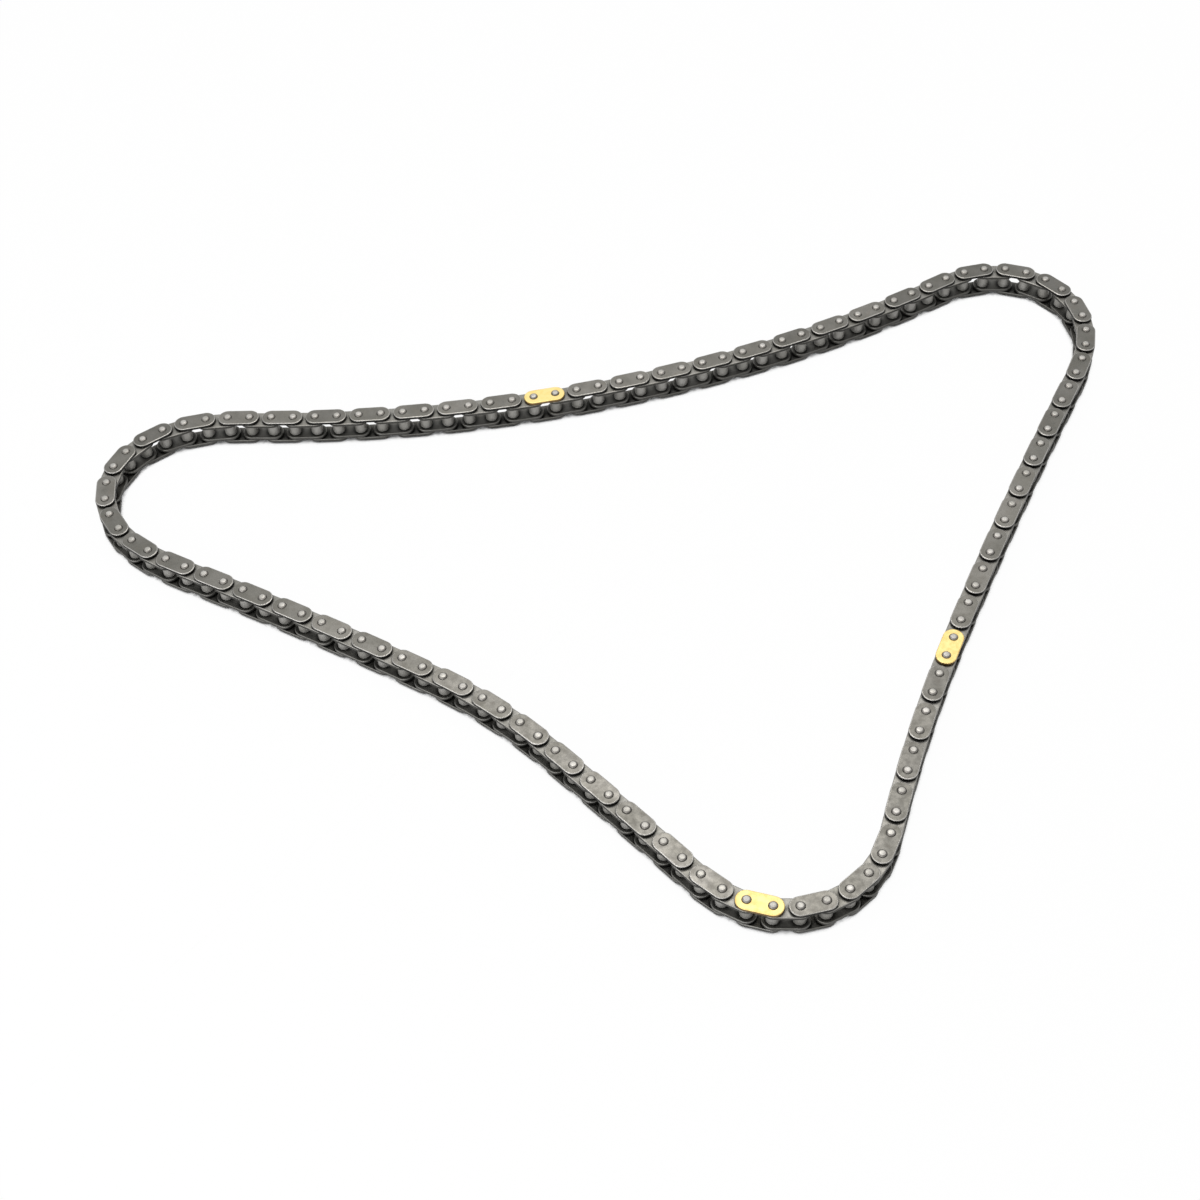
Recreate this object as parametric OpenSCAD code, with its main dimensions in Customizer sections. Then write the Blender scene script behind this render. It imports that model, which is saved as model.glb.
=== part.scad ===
// Timing chain: an endless bush chain lying flat on a bench, in one slack loop with three
// rounded corners, as it comes off an engine. Every link has two plates. Outer links carry
// two pins, inner links carry two bushes, and a pin turns in each bush.

/* [Links] */
// Distance from pin to pin
pitch = 9.525; // [9:0.005:10.5]
// Height of every plate across its rounded ends
plate_h = 8.26; // [7.8:0.01:8.8]
// Thickness of the outer plates
outer_t = 1.45; // [1:0.05:2]
// Thickness of the inner plates
inner_t = 1.45; // [1:0.05:2]
// Rounding of a plate's edge on its outside, where the punch went in
plate_round = 0.4; // [0.2:0.05:0.6]
// Bevel of its edge on the inside
plate_bevel = 0.25; // [0.1:0.05:0.4]
// Bevel round the pin holes on the outside of the outer plates
hole_bevel = 0.15; // [0.05:0.05:0.45]

/* [Pins and bushes] */
// Diameter of the pins
pin_d = 3.28; // [2.8:0.02:3.5]
// Length of a pin that stands out of each outer plate
pin_out = 0.75; // [0.5:0.05:1.2]
// Diameter of the flat in the middle of a pin's end
pin_flat = 1.2; // [0.8:0.1:1.8]
// Height of the crown from the pin's side up to that flat
pin_crown = 0.55; // [0.2:0.05:0.7]
// Outer diameter of the bushes
bush_d = 5; // [4.6:0.05:5.4]
// Clear width between the inner plates, where the sprocket teeth go
inner_w = 5.72; // [4.5:0.02:7]

/* [Fits] */
// Radial running clearance of a pin in its bush
run_clear = 0.07; // [0.02:0.01:0.1]
// Extra radial clearance in the bush where the loop is opened
open_clear = 0.03; // [0:0.01:0.1]
// Side clearance between an inner plate and the outer plate beside it
side_clear = 0.07; // [0.05:0.01:0.2]
// Radial gap that keeps a pressed pin or bush and its plate separate pieces
press_gap = 0.01; // [0.005:0.005:0.02]

/* [Loop] */
// Links in the whole loop
links = 124; // [122:2:128]
// Direction of the first link of the top run
lay_angle = -5; // [-15:1:15]
// Pins in the right corner
right_pins = 13; // [11:1:15]
// Pins in the bottom corner
bottom_pins = 10; // [9:1:12]
// Pins in the left corner
left_pins = 16; // [14:1:18]
// Pins of the right run, from its stiffer half to its slacker half
right_run = [16, 10];
// Pins of the left run, from the bottom corner to the left one
left_run = [8, 6, 12];
// Sag of the top run, in degrees at each pin
top_sag = 1; // [0.6:0.1:1.4]
// Sag of the two parts of the right run, in degrees at each pin
right_sag = [0.2, 0.7];
// Sag of the three parts of the left run, in degrees at each pin
left_sag = [0.2, 2.5, 0.3];

/* [Coloured plates] */
// Outer links whose top plate is a timing mark
marks = [12, 62, 78];

/* [Folding] */
// Pin at which the loop is opened, an odd one because an inner link starts there
open_pin = 77; // [1:2:121]
// Growth of the stiff groups of links with their distance from that pin
group_growth = 0.16; // [0.1:0.01:0.3]

/* [Hidden] */
$fn = 48;

plate_r = plate_h / 2;
pin_r = pin_d / 2;
bush_r = bush_d / 2;
bore_r = pin_r + run_clear;

// Heights from the bench up
lower_outer_z = pin_out;
lower_inner_z = lower_outer_z + outer_t + side_clear;
upper_inner_z = lower_inner_z + inner_t + inner_w;
upper_outer_z = upper_inner_z + inner_t + side_clear;
chain_h = upper_outer_z + outer_t + pin_out;
bush_h = upper_inner_z + inner_t - lower_inner_z;
// How far a cutting tool reaches past the face that it cuts
past = 1;
// Steps of the section's outline round a rounded edge
round_steps = 3;
full_turn = 360;

// Each corner turns most at its middle. Fullness is how long it stays near its tightest,
// and lean moves the tightest pin towards its start (below 0) or its end (above 0).
right_form = [0.7, -0.55];
bottom_form = [0.4, 0];
left_form = [1, 0.15];

function same(count, value) = [for (k = [1:count]) value];
function total(list) = same(len(list), 1) * list;
function swell(count, form) =
  [for (k = [0:count - 1]) pow(sin(180 * pow((k + 0.5) / count, pow(2, form[1]))), form[0])];
function corner(count, form) = swell(count, form) / total(swell(count, form));
function run(counts, sags) = [for (k = [0:len(counts) - 1]) each same(counts[k], sags[k])];

top_pins = links - right_pins - bottom_pins - left_pins - total(right_run) - total(left_run);

// Bend of the chain at every pin, in degrees, for three corners that turn by turns[0..2]
function bends(turns) = concat(
  same(top_pins, top_sag),
  -turns[0] * corner(right_pins, right_form),
  run(right_run, right_sag),
  -turns[1] * corner(bottom_pins, bottom_form),
  run(left_run, left_sag),
  -turns[2] * corner(left_pins, left_form));

function running(list) =
  [for (k = 0, sum = list[0]; k < len(list); k = k + 1, sum = k < len(list) ? sum + list[k] : sum) sum];
function steps(angles) = [for (a = angles) pitch * [cos(a), sin(a)]];

// What the loop misses its own start by: the gap in x and y, in links, and the turn, in degrees
function miss(turns) =
  let (bend = bends(turns), gap = total(steps(running(bend))) / pitch)
  [gap.x, gap.y, total(bend) + full_turn];

// Newton's method for the three turns that close the loop
nudge = 0.01;
closing_rounds = 8;
function mended(turns) =
  let (
    off = miss(turns),
    da = (miss(turns + [nudge, 0, 0]) - off) / nudge,
    db = (miss(turns + [0, nudge, 0]) - off) / nudge,
    dc = (miss(turns + [0, 0, nudge]) - off) / nudge,
    det = da * cross(db, dc))
  turns - [off * cross(db, dc), da * cross(off, dc), da * cross(db, off)] / det;
function closed(turns, rounds) = rounds < 1 ? turns : closed(mended(turns), rounds - 1);

sag_sum = total(same(top_pins, top_sag)) + total(run(right_run, right_sag)) + total(run(left_run, left_sag));
corner_turns = closed(same(3, (full_turn + sag_sum) / 3), closing_rounds);

headings = [for (a = running(bends(corner_turns))) a + lay_angle];
walked = running(concat([[0, 0]], steps(headings)));
walked_x = [for (p = walked) p.x];
walked_y = [for (p = walked) p.y];
middle = [max(walked_x) + min(walked_x), max(walked_y) + min(walked_y)] / 2;
pins = [for (p = walked) p - middle];

// Links that move as one, counted out from the open pin on both sides. The rest is the base.
least_base = 8;
function group_sizes(done = 0) =
  let (size = max(1, round(group_growth * (done + 1))))
  2 * (done + size) > links - least_base ? [] : concat([size], group_sizes(done + size));
sizes = group_sizes();
function nearer(k) = k == 0 ? 0 : nearer(k - 1) + sizes[k - 1];
grouped = nearer(len(sizes));

// Every group as its side of the open pin, its first link counted from there, and its links
groups = concat(
  [["base", grouped, links - 2 * grouped]],
  [for (k = [0:len(sizes) - 1]) ["after", nearer(k), sizes[k]]],
  [for (k = [0:len(sizes) - 1]) ["before", nearer(k), sizes[k]]]);

opened = 2 * round((open_pin - 1) / 2) + 1;
function link_at(side, count) = (opened + (side == "before" ? links - 1 - count : count)) % links;

// A group of four links or more has its outer and its inner links in nodes of their own
split_from = 4;
function is_outer(link) = link % 2 == 0;
function members(group, kind) =
  [for (k = [0:group[2] - 1])
    let (link = link_at(group[0], group[1] + k))
    if (kind == "all" || is_outer(link) == (kind == "outer")) link];
// A node is named after its links, counted from the open pin, such as links_after_4_to_5
function title(group, kind) =
  let (
    kinds = kind == "all" ? "" : str(kind, "_"),
    first = group[1] + 1,
    last = group[1] + group[2])
  group[0] == "base" ? str(kinds, "links_base")
  : group[2] == 1 ? str(kinds, "link_", group[0], "_", first)
  : str(kinds, "links_", group[0], "_", first, "_to_", last);
link_nodes =
  [for (group = groups, kind = group[2] < split_from ? ["all"] : ["outer", "inner"])
    [title(group, kind), members(group, kind)]];
function mark_name(link) = str("marker_plate_", link);

// Moves what is drawn along +X from the origin onto one link of the loop
module at_link(link) {
  translate([pins[link].x, pins[link].y, 0])
    rotate(headings[link])
      children();
}

module at_both_ends() {
  for (x = [0, pitch])
    translate([x, 0, 0])
      children();
}

// Outline round an edge, from the side at r to the face at z. The face looks up, or down where
// up is -1.
function rounded(r, z, width, height, up = 1) =
  [for (k = [0:round_steps])
    let (turn = 90 * k / round_steps)
    [r - width * (1 - cos(turn)), z - up * height * (1 - sin(turn))]];
function reversed(list) = [for (k = [len(list) - 1:-1:0]) list[k]];

// Half of a plate's cross-section, from its middle to its edge, with its outside up
function edge_section(thick) = [
  [0, 0],
  [plate_r - plate_bevel, 0],
  [plate_r, plate_bevel],
  each rounded(plate_r, thick, plate_round, plate_round),
  [0, thick]];

module plate_blank(thick) {
  at_both_ends()
    rotate_extrude()
      polygon(edge_section(thick));
  rotate([90, 0, 90])
    linear_extrude(height = pitch)
      for (side = [0, 1])
        mirror([side, 0])
          polygon(edge_section(thick));
}

module plate(thick, hole_r) {
  difference() {
    plate_blank(thick);
    at_both_ends()
      translate([0, 0, -past])
        cylinder(r = hole_r, h = thick + 2 * past);
  }
}

// Outer plate with its outside up and a bevelled rim round each pin hole
module outer_plate() {
  hole_r = pin_r + press_gap;
  rim_h = hole_bevel + past;
  difference() {
    plate(outer_t, hole_r);
    at_both_ends()
      translate([0, 0, outer_t - hole_bevel])
        cylinder(r1 = hole_r, r2 = hole_r + rim_h, h = rim_h);
  }
}

module lower_outer_plate() {
  color("dimgray")
    translate([0, 0, lower_outer_z + outer_t])
      mirror([0, 0, 1])
        outer_plate();
}

module upper_outer_plate() {
  translate([0, 0, upper_outer_z])
    outer_plate();
}

module upper_inner_plate() {
  color("gray")
    translate([0, 0, upper_inner_z])
      plate(inner_t, bush_r + press_gap);
}

module lower_inner_plate() {
  color("gray")
    translate([0, 0, lower_inner_z + inner_t])
      mirror([0, 0, 1])
        plate(inner_t, bush_r + press_gap);
}

// A crowned pin, flat in the middle of both ends
module pin() {
  crown_w = pin_r - pin_flat / 2;
  color("silver")
    rotate_extrude()
      polygon([
        [0, chain_h],
        [0, 0],
        each reversed(rounded(pin_r, 0, crown_w, pin_crown, -1)),
        each rounded(pin_r, chain_h, crown_w, pin_crown)]);
}

module bush(bore) {
  color("darkgray")
    translate([0, 0, lower_inner_z])
      difference() {
        cylinder(r = bush_r, h = bush_h);
        translate([0, 0, -past])
          cylinder(r = bore, h = bush_h + 2 * past);
      }
}

module outer_link(link) {
  lower_outer_plate();
  at_both_ends()
    pin();
  if (len([for (mark = marks) if (mark == link) mark]) == 0)
    color("dimgray")
      upper_outer_plate();
}

module inner_link(link) {
  lower_inner_plate();
  upper_inner_plate();
  bush(link == opened ? bore_r + open_clear : bore_r);
  translate([pitch, 0, 0])
    bush(bore_r);
}

module link_group(list) {
  for (link = list)
    at_link(link)
      if (is_outer(link))
        outer_link(link);
      else
        inner_link(link);
}

module marker_plate(link) {
  color("palegoldenrod")
    at_link(link)
      upper_outer_plate();
}

for (entry = link_nodes)
  link_group(entry[1]);
for (link = marks)
  marker_plate(link);
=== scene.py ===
"""Looks of the timing chain: a loop of dark oiled steel links with three pale gold timing plates."""

import math

import bpy
import numpy as np
from mathutils import Matrix, Vector


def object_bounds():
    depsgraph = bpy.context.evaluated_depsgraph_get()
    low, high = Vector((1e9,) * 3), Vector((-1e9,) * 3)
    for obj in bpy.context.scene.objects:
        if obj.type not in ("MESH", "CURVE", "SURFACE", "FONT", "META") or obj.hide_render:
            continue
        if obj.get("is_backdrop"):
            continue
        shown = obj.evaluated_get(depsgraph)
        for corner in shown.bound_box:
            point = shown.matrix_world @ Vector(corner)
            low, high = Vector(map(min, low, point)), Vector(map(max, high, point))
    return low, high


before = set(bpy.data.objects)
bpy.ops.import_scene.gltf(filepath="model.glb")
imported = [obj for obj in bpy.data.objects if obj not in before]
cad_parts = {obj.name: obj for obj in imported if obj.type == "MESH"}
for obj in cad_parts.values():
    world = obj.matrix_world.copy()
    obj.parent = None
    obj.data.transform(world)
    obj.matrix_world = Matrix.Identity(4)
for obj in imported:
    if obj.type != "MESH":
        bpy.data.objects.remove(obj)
CAD_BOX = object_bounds()

# Sizes of the chain, in metres. A bush reaches over the clear width between the inner plates and
# through both plates.
PITCH = 0.009525
CHAIN_H = CAD_BOX[1].z - CAD_BOX[0].z
MID_H = CHAIN_H / 2
PLATE_T = 0.00145
INNER_W = 0.00572
BUSH_H = INNER_W + 2 * PLATE_T

# A solid is told by its height: a pin reaches through the whole chain, and a bush is taller
# than two plates
PIN_H_MIN = 0.9 * CHAIN_H
BUSH_H_MIN = 2 * PLATE_T

# Steps per metre to which vertices are rounded, so that those at one place count as one
WELD_STEPS = 1e6

# A polygon is told by how level it is, from 0 for an upright one to 1 for a level one. On plates
# and pins alike, it is a face above the one value, a side below the other, and else an edge.
FACE_LEVEL = 0.98
SIDE_LEVEL = 0.5
PIN_FACE_LEVEL = 0.95
PIN_SIDE_LEVEL = 0.7

# Up to this distance from a pin's axis the bevel of a hole counts as a side too
HOLE_REACH = 0.0029

# How fast the plates' tones change along x and y, in tones per metre, chosen so that light and
# dark plates lie roughly as in the photograph
TONES_PER_X = 3463
TONES_PER_Y = 4553

# How far the seed shifts the noise along each axis
SEED_SHIFT = (1.0, 0.7, 1.3)

# Noise scales, in features per metre, and how rough the finest grain is
STEEL_CLOUDS = 90
STEEL_PATCHES = 320
STEEL_GRAIN = 2600
GOLD_CLOUDS = 420
GOLD_GRAIN = 2400
GRAIN_ROUGH = 0.7

# Relief of the grain: its strength, and its height in metres
BUMP_STRENGTH = 0.12
BUMP_H = 0.00002

# Steel: how much darker its clouds are in red, green and blue, how much brighter its edges are
# painted, partly as wear and partly as a painted highlight, how far from an edge this reaches, and
# the colour of the painted shade in its gaps
CLOUD_SHADE = (0.78, 0.78, 0.76)
EDGE_WEAR_AND_HIGHLIGHT_GAIN = 2.1
STEEL_EDGE_REACH = 0.00045
STEEL_PAINTED_SHADE = (0.006, 0.006, 0.005, 1)

# Gold plating: its seed, the colour of its worn edges and how far these reach, the colour of the
# painted shade in its gaps, and how near another piece has to be for that painted shade to lie there
GOLD_SEED = 3.1
GOLD_EDGE = (0.78, 0.56, 0.17, 1)
GOLD_WORN = 0.00025
GOLD_PAINTED_SHADE = (0.09, 0.05, 0.02, 1)
GOLD_GAP = 0.0008


# Nodes of the materials


def new_material(name):
    """An empty material: the material itself, its node tree and the socket for its surface."""
    material = bpy.data.materials.new(name)
    material.use_nodes = True
    tree = material.node_tree
    tree.nodes.clear()
    output = tree.nodes.new("ShaderNodeOutputMaterial")
    return material, tree, output.inputs["Surface"]


def new_metal(name, metallic):
    """A material with one metal shader: the material, its node tree and the shader."""
    material, tree, surface = new_material(name)
    shader = tree.nodes.new("ShaderNodeBsdfPrincipled")
    shader.inputs["Metallic"].default_value = metallic
    tree.links.new(shader.outputs["BSDF"], surface)
    return material, tree, shader


def put(tree, socket, value):
    """Links a socket, or writes a plain value."""
    if isinstance(value, bpy.types.NodeSocket):
        tree.links.new(value, socket)
    else:
        socket.default_value = value


def math_node(tree, operation, a, b):
    """One calculation with two numbers or sockets."""
    node = tree.nodes.new("ShaderNodeMath")
    node.operation = operation
    put(tree, node.inputs[0], a)
    put(tree, node.inputs[1], b)
    return node.outputs[0]


def ramp(tree, value, low, high, to_low=0.0, to_high=1.0):
    """Maps low..high smoothly onto to_low..to_high, and clamps."""
    node = tree.nodes.new("ShaderNodeMapRange")
    node.interpolation_type = "SMOOTHSTEP"
    put(tree, node.inputs["Value"], value)
    node.inputs["From Min"].default_value = low
    node.inputs["From Max"].default_value = high
    node.inputs["To Min"].default_value = to_low
    node.inputs["To Max"].default_value = to_high
    return node.outputs["Result"]


def mix(tree, factor, a, b, blend="MIX"):
    """Mixes two colours, from all a at factor 0 to all b at factor 1."""
    node = tree.nodes.new("ShaderNodeMix")
    node.data_type = "RGBA"
    node.blend_type = blend
    put(tree, node.inputs["Factor"], factor)
    for key, value in (("A", a), ("B", b)):
        socket = [s for s in node.inputs if s.name == key and s.type == "RGBA"][0]
        put(tree, socket, value)
    return [s for s in node.outputs if s.type == "RGBA"][0]


def place(tree, seed):
    """Coordinates that stay on the piece when it moves, shifted by the seed."""
    coords = tree.nodes.new("ShaderNodeTexCoord")
    mapping = tree.nodes.new("ShaderNodeMapping")
    mapping.inputs["Location"].default_value = tuple(seed * step for step in SEED_SHIFT)
    tree.links.new(coords.outputs["Object"], mapping.inputs["Vector"])
    return mapping.outputs["Vector"]


def noise(tree, vector, scale, detail, rough=0.55):
    """Soft random grey."""
    node = tree.nodes.new("ShaderNodeTexNoise")
    tree.links.new(vector, node.inputs["Vector"])
    node.inputs["Scale"].default_value = scale
    node.inputs["Detail"].default_value = detail
    node.inputs["Roughness"].default_value = rough
    return node.outputs["Fac"]


def edge_mask(tree, radius):
    """1 on the edges and 0 on flat faces, and the normal with its edges rounded.

    An edge is where the rounded normal leaves the true one.
    """
    bevel = tree.nodes.new("ShaderNodeBevel")
    bevel.samples = 4
    bevel.inputs["Radius"].default_value = radius
    geometry = tree.nodes.new("ShaderNodeNewGeometry")
    dot = tree.nodes.new("ShaderNodeVectorMath")
    dot.operation = "DOT_PRODUCT"
    tree.links.new(bevel.outputs["Normal"], dot.inputs[0])
    tree.links.new(geometry.outputs["Normal"], dot.inputs[1])
    edges = ramp(tree, dot.outputs["Value"], low=0.995, high=0.88)
    return edges, bevel.outputs["Normal"]


def openness(tree, distance):
    """0 deep between the pieces, 1 in the open."""
    node = tree.nodes.new("ShaderNodeAmbientOcclusion")
    node.samples = 6
    node.inputs["Distance"].default_value = distance
    return node.outputs["AO"]


def add_relief(tree, shader, height, normal):
    """Gives the shader a fine relief on top of a normal."""
    bump = tree.nodes.new("ShaderNodeBump")
    bump.inputs["Strength"].default_value = BUMP_STRENGTH
    bump.inputs["Distance"].default_value = BUMP_H
    put(tree, bump.inputs["Height"], height)
    put(tree, bump.inputs["Normal"], normal)
    put(tree, shader.inputs["Normal"], bump.outputs["Normal"])


def seen_directly(tree):
    """1 for a ray from the camera, from a glossy surface or through a clear one, else 0."""
    path = tree.nodes.new("ShaderNodeLightPath")
    seen = path.outputs["Is Camera Ray"]
    for ray in ("Is Glossy Ray", "Is Transmission Ray"):
        seen = math_node(tree, "MAXIMUM", seen, path.outputs[ray])
    return seen


# Materials


def steel(
    name, tone, tint, seed=0.0, roughness=0.42, edge_share=0.2, metal=0.9, gap=0.0007, painted_shade=(0.25, 0.7)
):
    """Dark oiled steel: clouded tone, fine tumbled grain, edges painted brighter, partly as wear and
    partly as a painted highlight, and painted shade in the gaps.

    tone and tint are its two colours, its edge share is how much of the brighter edge colour its
    edges take, and metal is how metallic it is. Painted shade darkens it where another piece is
    nearer than the gap, from full to none as the openness rises from the first number of the painted
    shade pair to the second.
    """
    material, tree, shader = new_metal(name, metal)
    at = place(tree, seed)
    clouds = noise(tree, at, STEEL_CLOUDS, detail=4)
    patches = noise(tree, at, STEEL_PATCHES, detail=3)
    grain = noise(tree, at, STEEL_GRAIN, detail=3, rough=GRAIN_ROUGH)
    shade = tuple(part * share for part, share in zip(tone, CLOUD_SHADE)) + (1,)
    # Painted highlight and wear: the edges turn brighter than the tone
    worn_and_lit = tuple(min(1, part * EDGE_WEAR_AND_HIGHLIGHT_GAIN) for part in tone) + (1,)
    colour = mix(tree, ramp(tree, clouds, low=0.35, high=0.65), shade, (*tone, 1))
    stained = ramp(tree, patches, low=0.5, high=0.8, to_high=0.5)
    colour = mix(tree, stained, colour, (*tint, 1))
    grain_tone = ramp(tree, grain, low=0.25, high=0.75, to_low=0.86, to_high=1.12)
    colour = mix(tree, 1.0, colour, grain_tone, "MULTIPLY")
    edges, rounded = edge_mask(tree, STEEL_EDGE_REACH)
    colour = mix(tree, math_node(tree, "MULTIPLY", edges, edge_share), colour, worn_and_lit)
    # Painted shade: the colour darkens towards near black where other pieces are near
    unshaded = ramp(tree, openness(tree, gap), *painted_shade)
    colour = mix(tree, unshaded, STEEL_PAINTED_SHADE, colour)
    put(tree, shader.inputs["Base Color"], colour)
    dull = ramp(
        tree, patches, low=0.3, high=0.7, to_low=roughness - 0.07, to_high=roughness + 0.09
    )
    put(tree, shader.inputs["Roughness"], dull)
    add_relief(tree, shader, grain, rounded)
    return material


def gold(name, tone, tint, edge_share):
    """Pale gold plating: two mixed tones, a deeper orange at the worn edges, painted shade in the
    gaps.
    """
    material, tree, shader = new_metal(name, metallic=0.35)
    at = place(tree, GOLD_SEED)
    clouds = noise(tree, at, GOLD_CLOUDS, detail=3)
    grain = noise(tree, at, GOLD_GRAIN, detail=2, rough=GRAIN_ROUGH)
    colour = mix(tree, ramp(tree, clouds, low=0.4, high=0.7), (*tone, 1), (*tint, 1))
    edges, rounded = edge_mask(tree, GOLD_WORN)
    colour = mix(tree, math_node(tree, "MULTIPLY", edges, edge_share), colour, GOLD_EDGE)
    # Painted shade: the plating darkens to brown where other pieces are near
    unshaded = ramp(tree, openness(tree, GOLD_GAP), low=0.2, high=0.65)
    colour = mix(tree, unshaded, GOLD_PAINTED_SHADE, colour)
    put(tree, shader.inputs["Base Color"], colour)
    dull = ramp(tree, clouds, low=0.3, high=0.7, to_low=0.42, to_high=0.55)
    put(tree, shader.inputs["Roughness"], dull)
    add_relief(tree, shader, grain, rounded)
    return material


# What several steels share: a duller finish, and painted shade reaching further out from the gaps
INNER_FINISH = dict(roughness=0.46, gap=0.0014, painted_shade=(0.38, 0.76))
SIDE_FINISH = dict(roughness=0.5, edge_share=0.0, gap=0.0012, painted_shade=(0.3, 0.8))

# Faces of the upper plates, in several tones
OUTER = [
    steel("outer_plate_a", tone=(0.169, 0.165, 0.152), tint=(0.145, 0.134, 0.116)),
    steel("outer_plate_b", tone=(0.158, 0.155, 0.143), tint=(0.136, 0.125, 0.109)),
    steel("outer_plate_c", tone=(0.194, 0.189, 0.175), tint=(0.167, 0.153, 0.133)),
    steel("outer_plate_d", tone=(0.145, 0.142, 0.131), tint=(0.125, 0.115, 0.10)),
]
INNER = [
    steel(
        "inner_plate_a", tone=(0.25, 0.246, 0.229), tint=(0.222, 0.207, 0.184),
        seed=4.3, **INNER_FINISH,
    ),
    steel(
        "inner_plate_b", tone=(0.23, 0.228, 0.214), tint=(0.207, 0.196, 0.174),
        seed=5.9, **INNER_FINISH,
    ),
]

# Their rounded edges, polished and also painted lighter as a highlight, and their cut sides,
# darker steel and also painted dark as the shade below the plates
OUTER_RIM = steel(
    "plate_rim", tone=(0.37, 0.361, 0.343), tint=(0.325, 0.311, 0.288),
    seed=6.6, roughness=0.3, edge_share=0.1, gap=0.0005,
)
# Painted shade: the cut sides are far darker than the faces
OUTER_SIDE = steel(
    "plate_side", tone=(0.016, 0.0155, 0.0145), tint=(0.013, 0.012, 0.011),
    seed=9.2, **SIDE_FINISH,
)
INNER_RIM = steel(
    "inner_rim", tone=(0.27, 0.263, 0.247), tint=(0.24, 0.225, 0.205),
    seed=6.9, roughness=0.4, edge_share=0.1, gap=0.001, painted_shade=(0.3, 0.75),
)
INNER_SIDE = steel(
    "inner_side", tone=(0.07, 0.068, 0.063), tint=(0.06, 0.056, 0.05),
    seed=9.4, **SIDE_FINISH,
)

# Face, rounded edge and cut side of the lower plates, darker copies of the steel as painted shade
# under the chain
LOW_FACE_PAINTED_SHADE = steel(
    "lower_face_painted_shade", tone=(0.125, 0.123, 0.115), tint=(0.105, 0.098, 0.086),
    seed=5.1, roughness=0.48, edge_share=0.0, gap=0.0022, painted_shade=(0.66, 0.99),
)
LOW_RIM_PAINTED_SHADE = steel(
    "lower_rim_painted_shade", tone=(0.15, 0.147, 0.138), tint=(0.13, 0.122, 0.11),
    seed=6.1, edge_share=0.1, gap=0.0006,
)
LOW_SIDE_PAINTED_SHADE = steel(
    "lower_side_painted_shade", tone=(0.085, 0.083, 0.078), tint=(0.07, 0.066, 0.059),
    seed=9.7, **SIDE_FINISH,
)

# Bushes, duller than the plates
BUSH = steel(
    "bush", tone=(0.335, 0.328, 0.31), tint=(0.295, 0.284, 0.264),
    seed=7.3, roughness=0.5, edge_share=0.1, metal=0.45, gap=0.0019, painted_shade=(0.12, 0.62),
)

# Crown of the pins, the steeper ring round it, darker steel and partly a painted shade round the
# crown, and their sides
PIN = steel(
    "pin_end", tone=(0.437, 0.43, 0.41), tint=(0.387, 0.37, 0.352),
    seed=8.1, roughness=0.48, edge_share=0.0,
)
PIN_RING = steel(
    "pin_ring", tone=(0.24, 0.227, 0.213), tint=(0.20, 0.18, 0.165),
    seed=8.4, edge_share=0.0,
)
PIN_SIDE = steel(
    "pin_side", tone=(0.21, 0.20, 0.185), tint=(0.17, 0.155, 0.14),
    seed=8.8, edge_share=0.0, painted_shade=(0.15, 0.6),
)

# Face, rounded edge and cut side of the coloured plates; the sides are painted dark brown as the
# shade below the plates
GOLD = gold("marker_face", tone=(0.93, 0.735, 0.30), tint=(0.90, 0.67, 0.24), edge_share=0.16)
GOLD_RIM = gold("marker_rim", tone=(0.92, 0.72, 0.27), tint=(0.86, 0.61, 0.19), edge_share=0.12)
# Painted shade: dark brown sides below the gold faces
GOLD_SIDE = gold("marker_side", tone=(0.15, 0.09, 0.028), tint=(0.11, 0.065, 0.02), edge_share=0.1)

STEELS = [
    *OUTER, *INNER, OUTER_RIM, INNER_RIM, OUTER_SIDE, INNER_SIDE,
    LOW_FACE_PAINTED_SHADE, LOW_RIM_PAINTED_SHADE, LOW_SIDE_PAINTED_SHADE, BUSH, PIN, PIN_RING, PIN_SIDE,
]
GOLDS = [GOLD, GOLD_RIM, GOLD_SIDE]


# Which material each solid of a CAD node takes


def islands(mesh):
    """A label for each vertex, the same for all vertices of one solid, and their coordinates."""
    co = np.zeros(len(mesh.vertices) * 3)
    mesh.vertices.foreach_get("co", co)
    co = co.reshape(-1, 3)
    steps = np.round(co * WELD_STEPS).astype(np.int64)
    _, weld = np.unique(steps, axis=0, return_inverse=True)
    weld = weld.ravel()
    ends = np.zeros(len(mesh.edges) * 2, np.int64)
    mesh.edges.foreach_get("vertices", ends)
    a, b = weld[ends].reshape(-1, 2).T
    label = np.arange(weld.max() + 1)
    # Every vertex takes the lowest label along its edges, until no label changes
    while True:
        before = label.copy()
        low = np.minimum(label[a], label[b])
        np.minimum.at(label, a, low)
        np.minimum.at(label, b, low)
        label = label[label]
        if (label == before).all():
            return label[weld], co


def faces_of(mesh):
    """Normal, middle and first vertex of every polygon."""
    count = len(mesh.polygons)
    normal = np.zeros(count * 3)
    middle = np.zeros(count * 3)
    starts = np.zeros(count, np.int64)
    corners = np.zeros(len(mesh.loops), np.int64)
    mesh.polygons.foreach_get("normal", normal)
    mesh.polygons.foreach_get("center", middle)
    mesh.polygons.foreach_get("loop_start", starts)
    mesh.loops.foreach_get("vertex_index", corners)
    return normal.reshape(-1, 3), middle.reshape(-1, 3), corners[starts]


def kind_of(low, high):
    """What a solid is, from its lowest and highest corner."""
    height = high[2] - low[2]
    if height > PIN_H_MIN:
        return "pin"
    if height > BUSH_H_MIN:
        return "bush"
    # The outer plates lie beyond the ends of the bushes
    if abs((low[2] + high[2]) / 2 - MID_H) > BUSH_H / 2:
        return "outer"
    return "inner"


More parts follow.
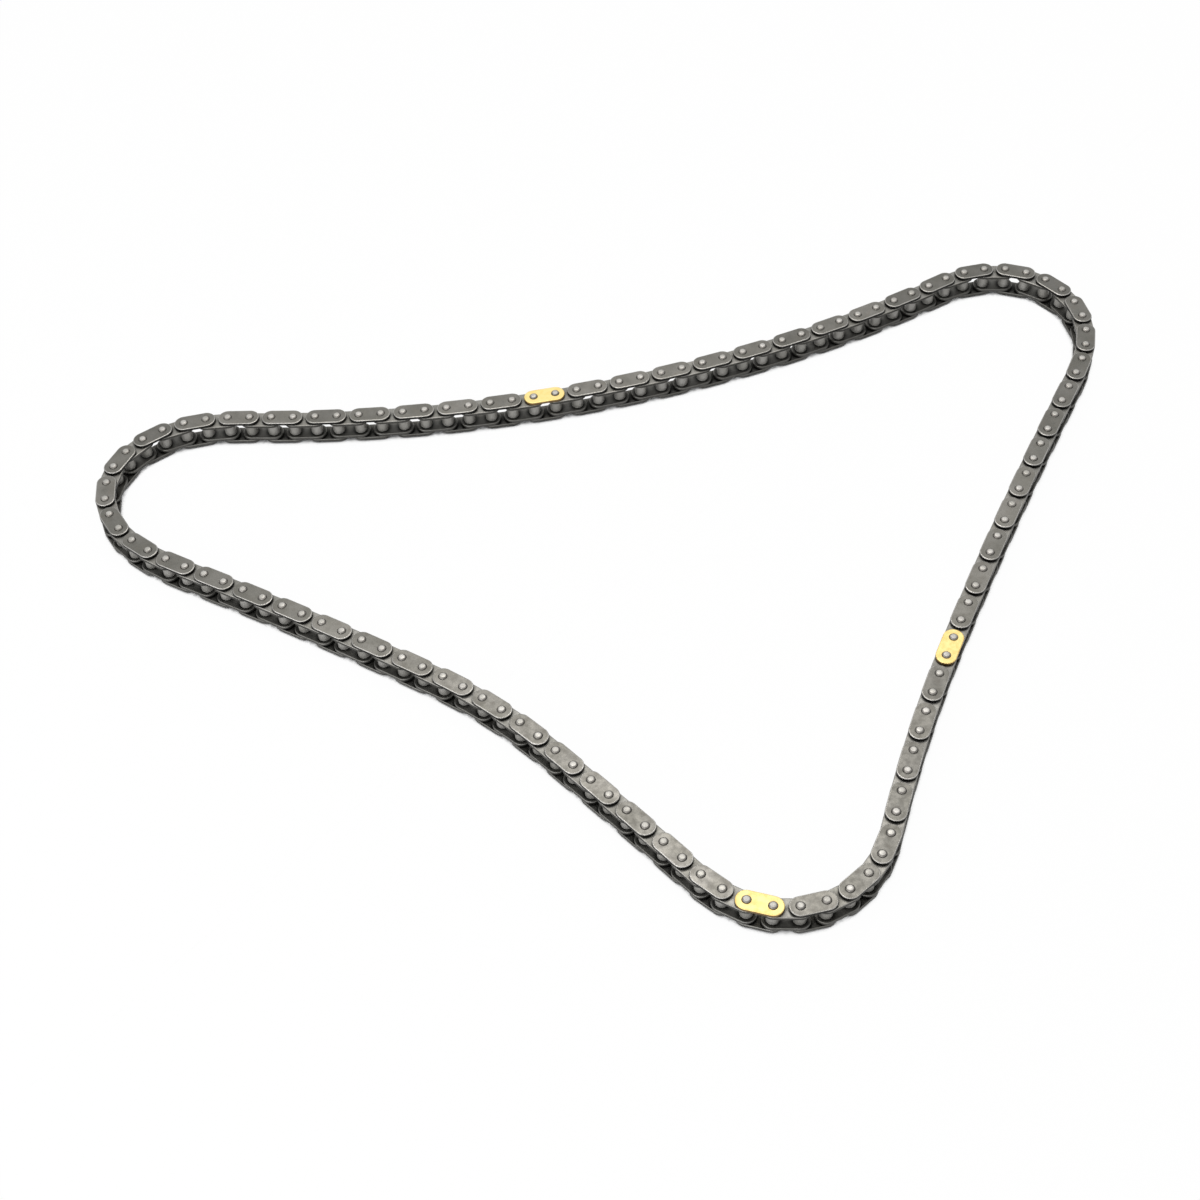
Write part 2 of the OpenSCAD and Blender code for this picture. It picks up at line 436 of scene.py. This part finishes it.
def pieces_of(obj):
    """Kind and middle of each solid of a CAD node, its polygons, how level they are and where."""
    label, co = islands(obj.data)
    normal, middle, first = faces_of(obj.data)
    owner = label[first]
    for name in np.unique(label):
        part = co[label == name]
        low = part.min(0)
        high = part.max(0)
        chosen = np.nonzero(owner == name)[0]
        level = np.abs(normal[chosen, 2])
        yield kind_of(low, high), (low + high) / 2, chosen, level, middle[chosen]


def plate_materials(kind, centre):
    """Face, rounded edge and cut side of a steel plate: several tones for the upper ones, darker
    copies as painted shade for the lower ones.
    """
    # Painted shade: the lower plates take the darker copies
    if centre[2] < MID_H:
        return LOW_FACE_PAINTED_SHADE, LOW_RIM_PAINTED_SHADE, LOW_SIDE_PAINTED_SHADE
    spread = int(abs(centre[0]) * TONES_PER_X + abs(centre[1]) * TONES_PER_Y)
    if kind == "outer":
        return OUTER[spread % len(OUTER)], OUTER_RIM, OUTER_SIDE
    return INNER[spread % len(INNER)], INNER_RIM, INNER_SIDE


def dress(obj, palette, axes):
    """Gives every polygon its material, by its solid's kind and by how level it is."""
    mesh = obj.data
    mesh.materials.clear()
    for material in palette:
        mesh.materials.append(material)
    indices = np.zeros(len(mesh.polygons), np.int32)
    for kind, centre, chosen, level, middle in pieces_of(obj):
        if kind == "bush":
            indices[chosen] = palette.index(BUSH)
            continue
        if kind == "pin":
            three = (PIN, PIN_RING, PIN_SIDE)
            flat = level > PIN_FACE_LEVEL
            steep = level <= PIN_SIDE_LEVEL
        else:
            three = GOLDS if palette is GOLDS else plate_materials(kind, centre)
            away = middle[:, None, :2] - axes[None, :, :]
            reach = np.sqrt((away**2).sum(2)).min(1)
            flat = level > FACE_LEVEL
            steep = (level < SIDE_LEVEL) | (reach < HOLE_REACH)
        face, edge, side = [palette.index(material) for material in three]
        indices[chosen] = np.select([flat, steep], [face, side], edge)
    mesh.polygons.foreach_set("material_index", indices)


def pin_axes():
    """Where the axis of every pin stands, in x and y."""
    axes = []
    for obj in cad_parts.values():
        axes += [centre[:2] for kind, centre, *_ in pieces_of(obj) if kind == "pin"]
    return np.array(axes)


pins = pin_axes()
for node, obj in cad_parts.items():
    marked = node.startswith("marker")
    dress(obj, GOLDS if marked else STEELS, pins)


# Floor

# Half the floor's width, and how near the chain its contact shadow begins, in metres
FLOOR_HALF = 6.0
SHADOW_REACH = 0.0032
FLOOR_TONE = (0.93, 0.93, 0.93, 1)
SHADOW_TONE = (0.1, 0.1, 0.1, 1)


def floor_material():
    """White where it is seen directly, except close to the chain.

    There the glow fades out so that its contact shadow stays, and the floor's colour darkens as a
    painted contact shadow.
    """
    material, tree, surface = new_material("floor")
    sky = openness(tree, SHADOW_REACH)
    diffuse = tree.nodes.new("ShaderNodeBsdfDiffuse")
    # Painted shadow: the floor's colour darkens near the chain
    tone = mix(tree, ramp(tree, sky, low=0.3, high=0.58), SHADOW_TONE, FLOOR_TONE)
    put(tree, diffuse.inputs["Color"], tone)
    glow = tree.nodes.new("ShaderNodeEmission")
    glow.inputs["Color"].default_value = (1, 1, 1, 1)
    away = ramp(tree, sky, low=0.37, high=0.55, to_high=0.98)
    share = math_node(tree, "MULTIPLY", seen_directly(tree), away)
    both = tree.nodes.new("ShaderNodeMixShader")
    tree.links.new(share, both.inputs["Fac"])
    tree.links.new(diffuse.outputs["BSDF"], both.inputs[1])
    tree.links.new(glow.outputs["Emission"], both.inputs[2])
    tree.links.new(both.outputs["Shader"], surface)
    return material


def make_floor():
    """One large square under the chain."""
    mesh = bpy.data.meshes.new("floor")
    signs = ((-1, -1), (1, -1), (1, 1), (-1, 1))
    corners = [(x * FLOOR_HALF, y * FLOOR_HALF, 0) for x, y in signs]
    mesh.from_pydata(corners, [], [(0, 1, 2, 3)])
    mesh.materials.append(floor_material())
    floor = bpy.data.objects.new("floor", mesh)
    bpy.context.scene.collection.objects.link(floor)
    floor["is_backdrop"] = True


make_floor()


# Light

# Strength of the soft light from all round, where 1 would be white
WORLD_LIGHT = 0.3


def softbox(name, where, target, width, height, power, color=(1, 1, 1)):
    """A rectangular lamp that faces its target. Sizes in metres, power in watts."""
    light = bpy.data.lights.new(name, "AREA")
    light.shape = "RECTANGLE"
    light.size = width
    light.size_y = height
    light.energy = power
    light.color = color
    lamp = bpy.data.objects.new(name, light)
    bpy.context.scene.collection.objects.link(lamp)
    lamp.location = where
    lamp.rotation_euler = (Vector(target) - Vector(where)).to_track_quat("-Z", "Y").to_euler()


def make_world():
    """Soft light from all round, and a white background where it is seen directly."""
    world = bpy.data.worlds.new("world")
    world.use_nodes = True
    bpy.context.scene.world = world
    tree = world.node_tree
    backdrop = tree.nodes["Background"]
    backdrop.inputs["Color"].default_value = (1, 1, 1, 1)
    strength = ramp(tree, seen_directly(tree), low=0.0, high=1.0, to_low=WORLD_LIGHT)
    tree.links.new(strength, backdrop.inputs["Strength"])


softbox(
    "key", where=(-0.75, -0.35, 0.7), target=(0, 0, 0),
    width=0.6, height=0.6, power=3,
)
softbox(
    "overhead", where=(0.04, 0.38, 0.95), target=(0.02, -0.12, 0),
    width=0.65, height=0.45, power=4.2, color=(1.0, 0.96, 0.91),
)
softbox(
    "front", where=(-0.32, -0.72, 0.38), target=(0.05, -0.15, 0),
    width=0.7, height=0.35, power=3,
)
make_world()


# Camera, at the photograph's angle. Its focal length, height, roll, distance and aim were fitted
# to the 124 pin heads.

IMAGE_W = 1200
FOCAL_PX = 1979.8
ELEVATION = math.radians(49.46)
ROLL = math.radians(-3.41)
DISTANCE = 82.12 * PITCH
AIM = Vector((-0.862 * PITCH, -2.140 * PITCH, CHAIN_H))
SENSOR_MM = 36.0


def make_camera():
    """The scene's camera, in front of the chain and above it."""
    camera = bpy.data.cameras.new("camera")
    camera.sensor_width = SENSOR_MM
    camera.lens = FOCAL_PX / IMAGE_W * SENSOR_MM
    camera.clip_start = 0.01
    camera.clip_end = 50
    holder = bpy.data.objects.new("camera", camera)
    bpy.context.scene.collection.objects.link(holder)
    back = Vector((0, -math.cos(ELEVATION), math.sin(ELEVATION)))
    turn = back.to_track_quat("Z", "Y").to_matrix() @ Matrix.Rotation(ROLL, 3, "Z")
    holder.matrix_world = Matrix.Translation(AIM + back * DISTANCE) @ turn.to_4x4()
    bpy.context.scene.camera = holder


make_camera()
bpy.context.scene.view_settings.view_transform = "Standard"

sizes = {"cad": CAD_BOX, "visual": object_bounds()}
{key: [list(corner) for corner in box] for key, box in sizes.items()}
